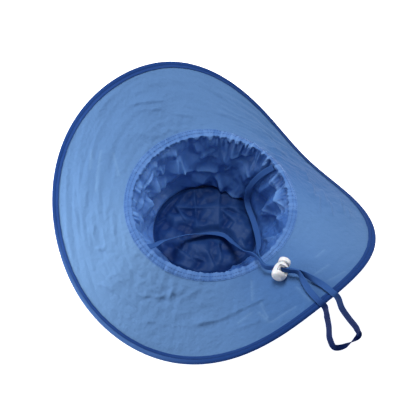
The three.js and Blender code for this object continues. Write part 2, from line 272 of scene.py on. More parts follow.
# Woven threads: a plain weave, one thread over and one under, seen as height and as tone.
weave, weave_in, weave_out = node_group(
    "woven_threads", {"Place": "Vector", "Threads per metre": "Float"}, {"Height": "Float", "Tone": "Float"})
weave_place = added(weave, "VectorMath", {
    0: weave_in.outputs["Place"], "Scale": weave_in.outputs["Threads per metre"]}, operation="SCALE")
weave_axes = added(weave, "SeparateXYZ", {0: weave_place})
weave_warp, weave_weft = (
    maths(weave, "SINE", maths(weave, "MULTIPLY", weave_axes.outputs[axis], pi)) for axis in "XY")
weave_cross = maths(weave, "MULTIPLY", weave_warp, weave_weft)
weave_height = maths(weave, "MULTIPLY_ADD", weave_cross, 0.5, 0.5)
weave_slubs = added(weave, "TexNoise", {"Vector": weave_place, "Scale": 0.06, "Detail": 2.0})
wired(weave, weave_out, {"Height": weave_height, "Tone": weave_slubs})

# Dye: the colour is a little uneven, and it turns paler by a share that each piece gives,
# for pale marks and for painted light and shade.
dye, dye_in, dye_out = node_group("dyed_cloth", {
    "Place": "Vector", "Deep": "Color", "Pale": "Color", "Marked and lit": "Color",
    "Tone": "Float", "Marks and light": "Float"}, {"Colour": "Color", "Worn": "Float"})
dye_from, patches_per_metre = dye_in.outputs, 9.0
dye_patches = added(dye, "TexNoise", {
    "Vector": dye_from["Place"], "Scale": patches_per_metre, "Detail": 3.0, "Roughness": 0.45})
dye_range = added(dye, "MapRange", {"Value": dye_patches, "From Min": 0.3, "From Max": 0.7})
dye_thread = maths(dye, "MULTIPLY_ADD", dye_from["Tone"], 0.5, -0.25)
dye_share = maths(dye, "ADD", dye_range, dye_thread, use_clamp=True)
dye_colour = blended(dye, dye_share, dye_from["Deep"], dye_from["Pale"])
dye_marked_and_lit = blended(dye, dye_from["Marks and light"], dye_colour, dye_from["Marked and lit"])
wired(dye, dye_out, {"Colour": dye_marked_and_lit, "Worn": dye_range})

# Crumple: the small flat facets, with sharp folds between them, of thin cloth that was packed away.
crumple, crumple_in, crumple_out = node_group(
    "crumpled_cloth", {"Place": "Vector", "Creases per metre": "Float"}, {"Height": "Float"})
crumple_spot, crumple_count = crumple_in.outputs["Place"], crumple_in.outputs["Creases per metre"]
crumple_bent = added(crumple, "TexNoise", {"Vector": crumple_spot, "Scale": crumple_count, "Detail": 2.0})
crumple_shift = added(crumple, "VectorMath", {
    0: crumple_bent.outputs["Color"], "Scale": 0.012}, operation="SCALE")
crumple_place = added(crumple, "VectorMath", {0: crumple_spot, 1: crumple_shift}, operation="ADD")
crumple_cells = added(crumple, "TexVoronoi", {"Vector": crumple_place, "Scale": crumple_count})
crumple_height = maths(crumple, "MULTIPLY_ADD", crumple_cells, 0.25, crumple_bent)
wired(crumple, crumple_out, {"Height": crumple_height})


def nylon(
    name, deep, pale, marked_and_lit, creases, crease_depth, gloss, shine,
    threads=2600.0, thread_depth=0.00003, glow=0.0,
):
    """Thin dyed cloth.

    Its deep and pale colours, the paler colour of its marks and of its painted light, creases and
    threads per metre with their depths in metres, its roughness, how strongly it mirrors light and
    how much light comes through it.
    """
    made, tree, shader, spot = new_material(name)
    threads_at = added(tree, "UVMap", {}, uv_map="threads")
    # The "fold" attribute holds each piece's share of pale marks and of painted light and shade.
    fold = added(tree, "Attribute", {}, attribute_name="fold")
    weave_node = added(
        tree, "Group", {"Place": threads_at, "Threads per metre": threads}, node_tree=weave)
    dye_node = added(tree, "Group", {
        "Place": spot, "Deep": paint(*deep), "Pale": paint(*pale), "Marked and lit": paint(*marked_and_lit),
        "Tone": weave_node.outputs["Tone"], "Marks and light": fold.outputs["Fac"]}, node_tree=dye)
    crease_node = added(tree, "Group", {"Place": spot, "Creases per metre": creases}, node_tree=crumple)
    dull = added(tree, "MapRange", {
        "Value": dye_node.outputs["Worn"], "To Min": gloss + 0.05, "To Max": gloss - 0.05})
    creased = added(tree, "Bump", {"Height": crease_node, "Distance": crease_depth, "Strength": 1.0})
    woven = added(tree, "Bump", {
        "Height": weave_node, "Distance": thread_depth, "Strength": 1.0, "Normal": creased})
    wired(tree, shader, {
        "Base Color": dye_node, "Roughness": dull, "Normal": woven,
        "Specular IOR Level": shine, "Specular Tint": (0.6, 0.78, 1.0, 1.0),
        "Subsurface Weight": glow, "Subsurface Scale": 0.002, "Subsurface Radius": (0.7, 0.9, 1.0)})
    return made


def strap_place(shares_along, shares_across):
    """The ribbon's surface, a little slack at its edges as a narrow soft weave is."""
    spots = {}
    for share in set(shares_along):
        place, way, lean = strap_line(share)
        across = strap_across(way, lean)
        curl = 0.0004 * noise.noise(Vector((share * 60, 2.0, 5.0)))
        spots[share] = np.array(place), np.array(across * strap_width), np.array(across.cross(way) * curl)
    return [
        spots[along][0] + spots[along][1] * (across - 0.5) + spots[along][2] * (2 * across - 1) ** 2
        for along, across in zip(shares_along, shares_across)
    ]


def strap_marks_and_painted_shade(shares_along, shares_across):
    """The selvedges are paler. The strands inside the hat are painted paler, and the loop that hangs
    out of it keeps the dark colour as painted shade.
    """
    shaded_loop = np.exp(-(((shares_along - 0.5) / 0.14) ** 6))
    return (0.6 - 0.6 * shaded_loop) + 0.2 * (np.abs(shares_across - 0.5) > 0.4)


strap_path = [strap_line(step / strap_steps)[0] for step in range(strap_steps + 1)]
strap_length = sum((b - a).length for a, b in zip(strap_path, strap_path[1:]))
strap_mesh = laid_cloth(
    strap_steps, 8, strap_place, strap_marks_and_painted_shade,
    lengths=lambda along, across: (along * strap_length, across * strap_width),
    closed=False, face_at=(0.5, 0.5),
)
strap_ribbon = nylon(
    "strap_ribbon", (12, 32, 88), (18, 42, 104), (64, 106, 172),
    creases=90.0, crease_depth=0.0001, gloss=0.65, shine=0.05, threads=1700.0, thread_depth=0.00012,
)
strap = finished("chin_strap_ribbon", strap_mesh, [strap_ribbon], "chin_strap")
thickened(strap, strap_thickness, 0.0)


# The cord lock.
# A moulded barrel of white plastic with a sprung plunger. Both have a cross hole that the two
# strands run through, and the spring pinches them between barrel and plunger.

# Profiles of the barrel and the plunger, radius and height in millimetres, turned round the
# barrel's axis. The barrel's ends with its bore.
barrel_profile = [
    (0, -9), (3.2, -9), (4.9, -8.8), (6.3, -8.1), (7.3, -7.0), (8.0, -5.6), (8.35, -4.0), (8.5, -1.5),
    (8.45, 1.2), (8.3, 3.8), (8.05, 5.6), (7.7, 7.2), (7.35, 8.1), (6.95, 8.4), (6.6, 8.4), (6.45, 8.1),
    (6.45, -6.6), (0, -6.6),
]
plunger_profile = [
    (0, -3.8), (5.6, -3.8), (6.1, -3.4), (6.1, 8.3), (5.7, 8.7), (4.7, 9.0), (4.5, 9.6), (4.5, 11.0),
    (4.8, 11.5), (6.3, 11.7), (6.85, 12.2), (7.0, 13.0), (7.0, 16.3), (6.8, 16.9), (6.3, 17.3),
    (5.7, 17.45), (4.4, 17.4), (3.6, 17.0), (0, 16.9),
]
# Cross holes, where the two strands pass: low and high end along the axis.
barrel_hole, plunger_hole, hole_width = (-1.4, 6.3), (3.0, 9.6), 8.2
# Windows on the side where the strands leave: start across, low and high end along the axis.
barrel_window, plunger_window, past_the_lock = (-0.6, -4.2, 5.0), (0.4, -2.6, 4.0), 12
strands_height = 4.65

# The lock lies where the straight stretches of the two strands run through it.
outward_rows, inward_rows = strap_rows[10:14], strap_rows[34:38]
lock_through = (Vector(outward_rows[3][:3]) - Vector(outward_rows[0][:3])).normalized()
lock_up = -strap_across(lock_through, radians(outward_rows[1][3]))
lock_up *= copysign(1, lock_up.z)
lock_axis = lock_up.cross(lock_through)
strands_middle = sum((Vector(row[:3]) for row in outward_rows + inward_rows), Vector()) / 8
lock_place = Matrix.Translation(strands_middle) @ Matrix((
    lock_through, lock_axis, lock_up)).transposed().to_4x4() @ Matrix.Scale(0.001, 4)
lock_place = lock_place @ Matrix.Translation((0, -strands_height, 0))


def blotches(tree, place, per_metre, detail, low, high):
    """Noise of so many spots a metre, and a colour that wanders with it between two."""
    tone = added(tree, "TexNoise", {"Vector": place, "Scale": per_metre, "Detail": detail})
    return tone, blended(tree, tone, paint(*low), paint(*high))


lock_plastic, lock_tree, lock_shader, lock_spot = new_material("lock_plastic")
lock_haze, lock_colour = blotches(lock_tree, lock_spot, 240.0, 4.0, (206, 209, 216), (226, 228, 232))
lock_gloss = added(lock_tree, "MapRange", {"Value": lock_haze, "To Min": 0.24, "To Max": 0.42})
lock_grain = added(lock_tree, "TexNoise", {"Vector": lock_spot, "Scale": 2600.0, "Detail": 2.0})
lock_bump = added(lock_tree, "Bump", {"Height": lock_grain, "Distance": 0.00002, "Strength": 0.6})
wired(lock_tree, lock_shader, {
    "Base Color": lock_colour, "Roughness": lock_gloss, "Normal": lock_bump,
    "Coat Weight": 0.2, "Subsurface Weight": 0.1, "Subsurface Scale": 0.002})


def moulded(name, profile, hole, window, node, body):
    """A part turned from its profile, with a round-cornered cross hole and window cut in it."""
    mesh = bmesh.new()
    corners = [mesh.verts.new((radius, height, 0)) for radius, height in profile]
    for pair in zip(corners, corners[1:]):
        mesh.edges.new(pair)
    bmesh.ops.spin(
        mesh, geom=mesh.verts[:] + mesh.edges[:], axis=(0, 1, 0), cent=(0, 0, 0),
        angle=2 * pi, steps=64, use_merge=True,
    )
    bmesh.ops.remove_doubles(mesh, verts=mesh.verts, dist=0.001)
    bmesh.ops.recalc_face_normals(mesh, faces=mesh.faces)
    bmesh.ops.transform(mesh, matrix=lock_place, verts=mesh.verts)
    piece = finished(name, mesh, [lock_plastic], node, body)

    half = hole_width / 2
    for low, high in (
        ((-past_the_lock, hole[0], -half), (past_the_lock, hole[1], half)),
        ((window[0], window[1], -half), (past_the_lock, window[2], past_the_lock)),
    ):
        cutter = bmesh.new()
        bmesh.ops.create_cube(cutter, size=1.0)
        bmesh.ops.scale(cutter, vec=[b - a for a, b in zip(low, high)], verts=cutter.verts)
        bmesh.ops.translate(cutter, vec=[(a + b) / 2 for a, b in zip(low, high)], verts=cutter.verts)
        lengthwise = [e for e in cutter.edges if abs(e.verts[0].co.x - e.verts[1].co.x) > 1]
        bmesh.ops.bevel(
            cutter, geom=lengthwise, offset=1.2, affect="EDGES", segments=6, profile=0.5, material=-1,
        )
        bmesh.ops.transform(cutter, matrix=lock_place, verts=cutter.verts)
        tool = placed("cross_hole", cutter)
        drilled = piece.modifiers.new("cross_hole", "BOOLEAN")
        drilled.operation = "DIFFERENCE"
        drilled.solver = "EXACT"
        drilled.object = tool
        shape = bpy.data.meshes.new_from_object(piece.evaluated_get(bpy.context.evaluated_depsgraph_get()))
        piece.modifiers.clear()
        piece.data = shape
        bpy.data.objects.remove(tool)
    soft_edge = piece.modifiers.new("soft_edge", "BEVEL")
    soft_edge.width = 0.00025
    soft_edge.segments = 3
    soft_edge.limit_method = "ANGLE"
    soft_edge.angle_limit = radians(38)
    return piece


lock_barrel = moulded(
    "cord_lock_barrel", barrel_profile, barrel_hole, barrel_window, "cord_lock_body", "hat")
lock_plunger = moulded(
    "cord_lock_plunger", plunger_profile, plunger_hole, plunger_window, "cord_lock_button", "lock_button")


# The brim.
# One layer of thin shiny nylon taffeta, cut as a flat ring and stretched between the head
# opening and a spring hoop in its edge. The hoop is too long for it and pulls it into a saddle.
opening_middle, opening_height = Vector((0.0085, -0.0004, 0)), 0.084
brim_radius, brim_width, brim_thickness = 0.0942, 0.0994, 0.0006
strap_turn, crease_strength = radians(272), 1.15

# Slope of the brim in degrees, as waves counted round the opening.
brim_waves = [
    (0, -12.0, 0.0),
    (1, -3.8, -1.9),
    (2, -29.6, 0.0),
    (3, -4.5, -1.3),
    (4, 2.0, -0.4),
]

# Tension folds and dents: turn in degrees, distance out, heading from the outward line in
# degrees, length, width and height, in millimetres.
brim_folds = [
    (20, 50, 66, 60, 9, 2.2),
    (12, 26, 58, 50, 8, -1.8),
    (50, 62, 70, 46, 10, -1.6),
    (82, 56, 40, 34, 11, 2.4),
    (100, 70, 15, 30, 12, -1.8),
    (128, 60, 78, 42, 12, 2.0),
    (163, 50, 60, 26, 12, -3.0),
    (182, 42, 20, 32, 12, 2.4),
    (210, 38, 75, 34, 12, -1.8),
    (236, 56, 84, 40, 12, -2.2),
    (318, 48, 10, 44, 12, 1.8),
    (340, 60, 45, 36, 12, -2.0),
]

# Sharp creases of the cloth: turn in degrees and distance out where one starts and ends, then
# its width and height, all in millimetres. Its steep side is on the right of that way.
brim_creases = [
    (162, 54, 165, 44, 2.2, 3),
    (166, 44, 168, 36, 1.8, 1),
    (177, 72, 184, 63, 2.6, 1.6),
    (183, 64, 198, 61, 1.5, 1.5),
    (184, 49, 198, 47, 1.2, 0.9),
    (198, 48, 201, 41, 1.6, 1.8),
    (201, 41, 206, 38, 1.6, 1.6),
    (206, 38, 209, 32, 1.5, 1.2),
    (211, 35, 212, 21, 1.8, 1.4),
    (218, 31, 227, 16, 2.6, 1.4),
    (178, 58, 181, 44, 1.8, 1.2),
    (183, 30, 192, 28, 1.3, 0.9),
    (179, 17, 183, 9, 1.6, 1.1),
    (201, 33, 205, 34, 1.4, 1),
    (193, 37, 195, 30, 1.6, 1),
    (204, 72, 209, 64, 2, 0.9),
    (227, 57, 234, 54, 3.2, 3),
    (234, 55, 246, 50, 2.4, 1.8),
    (245, 50, 257, 50, 1.4, 1.2),
    (244, 70, 252, 73, 2.8, 1.4),
    (132, 68, 119, 76, 2, 1),
    (142, 60, 133, 56, 2, 1.1),
    (155, 54, 151, 49, 1.8, 1.1),
    (161, 28, 157, 26, 2, 0.9),
    (146, 34, 144, 28, 2.2, 0.9),
    (87, 76, 82, 73, 2, 0.9),
    (90, 65, 76, 53, 2.2, 1.4),
    (88, 53, 79, 44, 1.8, 0.9),
    (74, 34, 65, 28, 2.2, 1.4),
    (87, 22, 83, 13, 1.6, 0.9),
    (81, 19, 76, 10, 1.6, 0.9),
    (97, 32, 90, 16, 4, 1.6),
    (122, 22, 119, 17, 2, 1.2),
    (51, 70, 40, 64, 2, 1.2),
    (50, 54, 44, 48, 1.8, 0.9),
    (48, 37, 36, 40, 2, 1.2),
    (37, 40, 27, 43, 2, 1.3),
    (28, 43, 19, 61, 2, 1.2),
    (41, 21, 30, 18, 1.8, 1),
    (31, 18, 14, 27, 1.8, 0.9),
    (38, 51, 26, 62, 1.8, 0.9),
    (16, 28, 6, 49, 1.8, 1.4),
    (331, 34, 342, 46, 2.0, 2.2),
    (345, 45, 354, 58, 2.0, 1.8),
    (318, 34, 332, 42, 2.0, 2.0),
    (319, 50, 330, 54, 2.0, 2.4),
    (325, 47, 338, 58, 2.0, 2.0),
    (322, 66, 334, 76, 2.0, 2.4),
    (320, 74, 326, 77, 2.0, 1.8),
]

# Thin pale lines on the cloth: turn and distance out at the start and end.
brim_pale_lines = [
    (250.5, 58, 243.6, 64),
    (255.0, 81, 252.9, 61),
    (255.0, 75, 255.6, 52),
    (265.7, 82, 255.3, 81),
    (270.8, 89, 271.6, 61),
    (256.8, 19, 252.4, 45),
    (116.5, 66, 124.5, 58),
    (114.8, 55, 134.2, 46),
    (124.0, 20, 113.0, 40),
    (296.1, 52, 289.3, 49),
    (289.0, 68, 280.8, 64),
    (289.0, 89, 281.4, 82),
]
pale_line_width, pale_line_share = 0.7, 0.2


def smooth_step(value, start, end):
    share = np.clip((value - start) / (end - start), 0.0, 1.0)
    return share * share * (3 - 2 * share)


def turn_between(turn, start):
    return np.arctan2(np.sin(turn - start), np.cos(turn - start))


def fading(away, reach):
    """1 in the middle, and fading to 0 on both sides over the reach."""
    return np.exp(-((away / reach) ** 2))


def near_turn(turn, middle, reach):
    """1 at a turn given in degrees, and fading to 0 on both sides over a reach in radians."""
    return fading(turn_between(turn, radians(middle)), reach)


def wavy(x, y, z):
    """Smooth random waves of the size 1, between -1 and 1, over arrays of places."""
    return np.array([noise.noise(Vector(spot)) for spot in zip(*np.broadcast_arrays(x, y, z))])


def wavy_round(turn, radius, z):
    """Smooth random waves round the hat, the finer the larger the radius."""
    return wavy(radius * np.cos(turn), radius * np.sin(turn), z)


def facets(x, y, z, size, seed, folds=5):
    """Flat facets between sharp folds, as in thin cloth that was packed away, between -1 and 1."""
    height = 0
    for fold in range(folds):
        turn = seed + 2.4 * fold
        tilt = 0.8 * sin(seed * 3 + fold * 1.7)
        way = cos(turn) * cos(tilt), sin(turn) * cos(tilt), sin(tilt)
        bend = 0.5 * wavy(x / size / 2, y / size / 2, z / size / 2 + seed + fold)
        along = (x * way[0] + y * way[1] + z * way[2]) / size / (0.75 + 0.3 * (fold % 3)) + bend
        strong = 0.5 + wavy(x / size / 3 + fold, y / size / 3, z / size / 3 + seed)
        height = height + (np.abs(2 * (along - np.floor(along)) - 1) - 0.5) * np.clip(strong, 0, 1)
    return 2 * height / folds


def pressed(x, y, creases):
    """Height in millimetres of sharp creases: start x and y, end x and y, width and height."""
    height = np.zeros_like(x)
    for start_x, start_y, end_x, end_y, width, tall in creases:
        length = hypot(end_x - start_x, end_y - start_y)
        way_x, way_y = (end_x - start_x) / length, (end_y - start_y) / length
        down = (x - start_x) * way_x + (y - start_y) * way_y
        aside = (x - start_x) * way_y - (y - start_y) * way_x
        fade = smooth_step(down, -2 * width, 2 * width)
        fade = fade * (1 - smooth_step(down, length - 2 * width, length + 2 * width))
        gentle = np.exp(-np.abs(aside) / (2.4 * width))
        height += tall * fade * np.where(aside > 0, fading(aside, width), gentle)
    return height


def headed(along, across, heading):
    """The same place, down and aside of a heading in degrees."""
    heading = radians(heading)
    return along * cos(heading) + across * sin(heading), across * cos(heading) - along * sin(heading)


def broad_fold(along, across, heading, length, width):
    """1 in the middle of a long soft fold, and fading to 0 over its length and width."""
    down, aside = headed(along, across, heading)
    return fading(2 * down, length) * fading(aside, width)


def brim_cut(turn, out):
    """A place on the brim's flat cut, in metres, from its turn and its distance out."""
    return (brim_radius + out) * np.cos(turn), (brim_radius + out) * np.sin(turn)


def brim_pressed(turn, out, rows):
    """Height in millimetres of creases given by turn and distance out, on the flat cut."""
    lines = []
    for start_turn, start_out, end_turn, end_out, *size in rows:
        start = brim_cut(radians(start_turn), start_out / 1000)
        end = brim_cut(radians(end_turn), end_out / 1000)
        lines.append((*(1000 * v for v in start + end), *size))
    x, y = brim_cut(turn, out)
    return pressed(1000 * x, 1000 * y, lines)


def brim_slope(turn):
    return np.radians(sum(c * np.cos(n * turn) + s * np.sin(n * turn) for n, c, s in brim_waves))


def brim_height(turn, out):
    """How far the cloth's broad folds stand off the stretched saddle, in metres."""
    height = 0
    for at, along, heading, length, width, tall in brim_folds:
        across = turn_between(turn, radians(at)) * (brim_radius + out) * 1000
        height = height + tall / 1000 * broad_fold(out * 1000 - along, across, heading, length, width)
    by_hoop = smooth_step(out, brim_width - 0.030, brim_width - 0.012)
    return height * smooth_step(out, 0.008, 0.030) * (1 - by_hoop)


def brim_relief(turn, out):
    """Height in metres of the sharp creases, the ripples along the hoop's pull and the puckers."""
    x, y = brim_cut(turn, out)
    free = smooth_step(out, 0.007, 0.016) * (1 - smooth_step(out, brim_width - 0.014, brim_width - 0.006))
    by_strap = fading(turn_between(turn, strap_turn) * (brim_radius + out), 0.016)
    creases = crease_strength * brim_pressed(turn, out, brim_creases)

    down, aside = headed(x, y, -42)
    diagonals = wavy(down / 0.045, aside / 0.0065, 3.0) + 0.5 * wavy(down / 0.03, aside / 0.0036, 8.0)
    pulled = near_turn(turn, 24, 0.5)

    slant = 0.010 * np.sin(3 * turn + 0.6)
    streaks = wavy_round(turn, 2.6, (out + slant) / 0.0075)
    streaks = streaks + 0.5 * wavy(np.cos(turn) * 5.2 + 9, np.sin(turn) * 5.2, (out + slant) / 0.004)
    beside = near_turn(turn, 140, 0.7)

    dents = 0.5 * wavy(x / 0.020, y / 0.020, 4.0) + 1.3 * facets(x, y, 0 * x, 0.017, 1.3)
    dents = dents + 0.6 * facets(x, y, 0 * x, 0.008, 6.1)
    crushed = near_turn(turn, 206, 0.4) * fading(out - 0.03, 0.022)
    crushed = crushed + near_turn(turn, 84, 0.3) * fading(out, 0.03)
    ripples = 1.9 * pulled * diagonals + 1.1 * (0.4 + beside) * streaks + (0.8 + 1.3 * crushed) * dents

    gathers = wavy_round(turn, 15, out / 0.03) + 0.9 * wavy_round(turn, 34, out / 0.02)
    gathers = gathers * fading(out - 0.006, 0.011)
    hems = wavy_round(turn, 20, 7.0) * fading(brim_width - 0.008 - out, 0.007)
    return (1 - by_strap) * (free * (creases + ripples) + 0.5 * gathers + 0.25 * hems) / 1000


def brim_place(turn, out, lift):
    """A place on the brim, out from the opening's edge and lift off the cloth's upper face."""
    slope = brim_slope(turn)
    raised = lift + brim_height(turn, out)
    radius = brim_radius + out * np.cos(slope) - raised * np.sin(slope)
    height = opening_height + out * np.sin(slope) + raised * np.cos(slope)
    return np.stack(np.broadcast_arrays(
        opening_middle.x + radius * np.cos(turn), opening_middle.y + radius * np.sin(turn), height), axis=-1)


def brim_cloth_place(share_round, share_out):
    turn, out = 2 * pi * share_round, brim_width * share_out
    return brim_place(turn, out, brim_relief(turn, out) - brim_thickness / 2)


def brim_marks_light_and_shade(share_round, share_out):
    """The cloth is paler along some thin lines. It is painted paler on the left as light, and left
    darker on the right and by the strap as shade.
    """
    turn = 2 * pi * share_round
    pale_rows = [(*row, pale_line_width, pale_line_share) for row in brim_pale_lines]
    lines = np.clip(brim_pressed(turn, brim_width * share_out, pale_rows), 0, pale_line_share)
    # Painted shade on the right and by the strap, painted light on the left.
    shaded_sides = near_turn(turn, 353, 0.5) + 0.9 * near_turn(turn, 270, 0.4)
    return lines + 0.21 * near_turn(turn, 165, 0.75) + 0.25 * (1 - shaded_sides)


brim_mesh = laid_cloth(
    590, 80, brim_cloth_place, brim_marks_light_and_shade,
    lengths=lambda share_round, share_out: brim_cut(2 * pi * share_round, brim_width * share_out),
)
brim_nylon = nylon(
    "brim_nylon", (60, 97, 151), (69, 106, 160), (122, 158, 196),
    creases=230.0, crease_depth=0.0009, gloss=0.55, shine=0.025,
)
brim = finished("brim_cloth", brim_mesh, [brim_nylon], "brim")
thickened(brim, brim_thickness)


# The binding.
# A folded tape sewn over the brim's edge. The spring hoop runs in its fold, which stands up as
# a round tunnel, and one row of stitches shuts the tunnel and holds the tape to the cloth.

# The tape's upper side from its inner edge to the outermost point, distance out and lift off
# the brim in millimetres. The lower side is the same below the cloth's middle.
binding_rows = [
    (94.0, 0.30), (94.1, 0.70), (94.8, 0.85), (97.0, 0.85), (97.6, 0.55), (98.1, 0.75), (98.8, 1.15),
    (99.8, 1.42), (101.0, 1.40), (102.0, 1.00), (102.7, 0.30), (103.0, -0.60),
]
binding_middle, binding_seam = -0.6, 97.6
binding_length, binding_cut = 2 * pi * (brim_radius + brim_width), 0.026


def binding_section(share):
    """Distance out and lift in millimetres, from the lower inner edge round to the upper one."""
    upper = np.linspace(0, 1, len(binding_rows))
    part = 1 - np.abs(2 * share - 1)
    out, lift = (np.interp(part, upper, column) for column in zip(*binding_rows))
    return out, np.where(share < 0.5, 2 * binding_middle - lift, lift)


def binding_place(share_round, share_across):
    turn = 2 * pi * share_round
    out, lift = binding_section(share_across)
    side = np.where(share_across > 0.5, 1, -1)
    free = 1 - smooth_step(out, 95, 101)
    wave = wavy_round(turn, 22, 3.0 + side)
    tunnel = wavy_round(turn, 30, share_across * 3)
    out = out + 0.35 * free * wave
    lift = lift + side * (0.22 * free * np.maximum(wave, -0.5) + 0.16 * (1 - free) * tunnel)
    return brim_place(turn, out / 1000, lift / 1000)


def binding_painted_light(share_round, share_across):
    """Painted light: the tape's tunnel is paler on its side at about 188 degrees round, where the
    light falls on it.
    """
    away = turn_between(2 * pi * share_round, radians(188))
    return 0.5 * np.exp(-((away / 0.6) ** 4)) * smooth_step(np.abs(share_across - 0.5), 0.33, 0.27)


binding_mesh = laid_cloth(
    560, 44, binding_place, binding_painted_light,
    lengths=lambda along, across: (along * binding_length, across * binding_cut), face_at=(0.25, 0.9),
)
binding_threads = binding_mesh.loops.layers.uv["threads"]
strip_rows = [row for row in binding_rows if row[0] < binding_seam]
strip_share = (len(strip_rows) + 0.5) / (len(binding_rows) - 1) / 2
for face in binding_mesh.faces:
    across = sum(loop[binding_threads].uv.y for loop in face.loops) / len(face.loops) / binding_cut
    face.material_index = 1 if min(across, 1 - across) < strip_share else 0
binding_tapes = [
    nylon(
        name, *colours, creases=80.0, crease_depth=0.00015, gloss=0.7, shine=0.02,
        threads=1500.0, thread_depth=0.00009,
    )
    for name, *colours in (
        ("binding_tape", (26, 54, 112), (34, 64, 124), (84, 122, 178)),
        ("binding_strip", (30, 58, 116), (38, 68, 128), (70, 104, 164)),
    )
]
binding = finished("brim_binding_tape", binding_mesh, binding_tapes, "brim_binding")
thickened(binding, 0.0004)


# The seam tape.
# A narrow band of the same cloth that covers the seam of brim and crown. Sewing has drawn it
# into puckers, it turns down into the opening, and its end laps over its start.
tape_leg, tape_width, tape_share_leg = 5.3, 8.0, 0.36
tape_length, tape_cut = 2 * pi * brim_radius, 0.0145
ruffle_turn, lap_turn = 16, radians(205)


def tape_ruffles(turn):
    """How strongly the tape is drawn together: deep ruffles at the far right, slight ones elsewhere."""
    return 0.7 + 1.6 * near_turn(turn, ruffle_turn, 0.5)


def tape_puckers(turn, across):
    broad, narrow = wavy_round(turn, 17, 1.0 + 0.5 * across), wavy_round(turn, 34, across * 1.2)
    return 0.65 * broad + 0.45 * narrow + 0.2 * wavy_round(turn, 60, across)


def tape_place(share_round, share_across):
    turn = 2 * pi * share_round
    by_end = np.minimum(np.abs(turn_between(turn, pi)), np.abs(turn_between(turn, -0.05)))
    calm = 0.25 + 0.75 * smooth_step(by_end, 0.04, 0.14)
    pucker = tape_puckers(turn, share_across) * tape_ruffles(turn) * calm

    down = np.clip(1 - share_across / tape_share_leg, 0, 1)
    scallop = np.clip(1.1 + 6 * pucker, 0, 4.6)
    leg_radius = 1000 * brim_radius - 1.6 - scallop * (0.5 + 0.5 * np.sin(pi * down * 0.7))
    leg_height = 1000 * opening_height + 0.3 - tape_leg * down * (0.7 + 0.3 * np.tanh(3 * pucker))
    leg = np.stack([
        1000 * opening_middle.x + leg_radius * np.cos(turn),
        1000 * opening_middle.y + leg_radius * np.sin(turn),
        leg_height,
    ], axis=-1) / 1000

    part = np.clip((share_across - tape_share_leg) / (1 - tape_share_leg), 0, 1)
    arch = np.sin(pi * np.minimum(part / 0.92, 1.0))
    past_lap = turn_between(turn, lap_turn)
    lap = smooth_step(past_lap, -0.055, -0.045) * (1 - smooth_step(past_lap, 0.045, 0.05))
    edge = 0.5 * tape_puckers(turn, 5.0) * smooth_step(part, 0.7, 1.0)
    out = (tape_width * part + edge) / 1000
    lift = 0.15 + arch * np.clip(0.25 + 2.4 * pucker, 0.05, 2.0) + 0.4 * lap
    flange = brim_place(turn, out, lift / 1000 + brim_relief(turn, out))

    turned = smooth_step(part, 0, 0.2)[:, None]
    return leg * (1 - turned) + flange * turned


def tape_painted_highlights(share_round, share_across):
    """Painted highlight and shade: the cloth is paler on the crests of the puckers and darker in
    their hollows.
    """
    turn = 2 * pi * share_round
    return np.clip(0.25 + 0.55 * tape_puckers(turn, share_across) * tape_ruffles(turn), 0, 1)


tape_mesh = laid_cloth(
    640, 26, tape_place, tape_painted_highlights,
    lengths=lambda along, across: (along * tape_length, across * tape_cut), face_at=(0.25, 0.8),
)
seam_tape = nylon(
    "seam_tape", (60, 98, 160), (68, 108, 170), (104, 142, 198),
    creases=260.0, crease_depth=0.0007, gloss=0.5, shine=0.12, threads=2200.0, thread_depth=0.00006,
)
tape = finished("opening_seam_tape", tape_mesh, [seam_tape], "opening_tape")
thickened(tape, 0.0004)


# The sewing.
# Lockstitches of dark blue thread, about three millimetres long: one row shuts the binding's
# tunnel, and one row on each edge of the seam tape holds it down.
stitch_length, stitch_gap, stitch_radius = 0.0026, 0.0005, 0.0002

sewing_thread, thread_tree, thread_shader, thread_spot = new_material("sewing_thread")
thread_tone, thread_colour = blotches(thread_tree, thread_spot, 900.0, 2.0, (24, 44, 92), (48, 76, 132))
thread_twist = added(thread_tree, "Bump", {"Height": thread_tone, "Distance": 0.00005, "Strength": 1.0})
wired(thread_tree, thread_shader, {
    "Base Color": thread_colour, "Normal": thread_twist, "Roughness": 0.65, "Specular IOR Level": 0.1})


def sewn_row(name, spot):
    """A row of stitches. spot takes a turn and gives the place on the cloth under the thread."""
    mesh = bmesh.new()
    line = spot(np.linspace(0, 2 * pi, 721))
    reach = np.concatenate([[0], np.cumsum(np.linalg.norm(np.diff(line, axis=0), axis=1))])
    count = int(reach[-1] / (stitch_length + stitch_gap))
    for stitch in range(count):
        ends = [reach[-1] * stitch / count, reach[-1] * stitch / count + stitch_length]
        start, end = (Vector([np.interp(at, reach, line[:, axis]) for axis in range(3)]) for at in ends)
        made = bmesh.ops.create_uvsphere(mesh, u_segments=6, v_segments=4, radius=stitch_radius)
        for vert in made["verts"]:
            vert.co.z *= 0.5 * stitch_length / stitch_radius
        turned = (end - start).to_track_quat("Z", "Y").to_matrix().to_4x4()
        bmesh.ops.transform(
            mesh, matrix=Matrix.Translation((start + end) / 2) @ turned, verts=made["verts"])
    finished(name, mesh, [sewing_thread])


sewn_row("binding_stitches", lambda turn: brim_place(turn, binding_seam / 1000, 0.0007))
for edge, share in (("outer", 0.88), ("inner", 0.55)):
    sewn_row(
        f"tape_{edge}_stitches",
        lambda turn: tape_place(turn / (2 * pi), np.full_like(turn, share)) + (0, 0, 0.0001),
    )


# The crown's wall.
# A side panel of the same thin nylon, gathered into the seam at the opening and sewn to the
# round panel that the hat lies on. It stands up by its own folds.
tip_middle, tip_radius, tip_thickness = Vector((0.0073, 0.008, 0)), 0.066, 0.0012
wall_top_radius, wall_foot_radius, wall_foot, wall_depth = 0.0933, 0.0645, 0.0015, 0.088

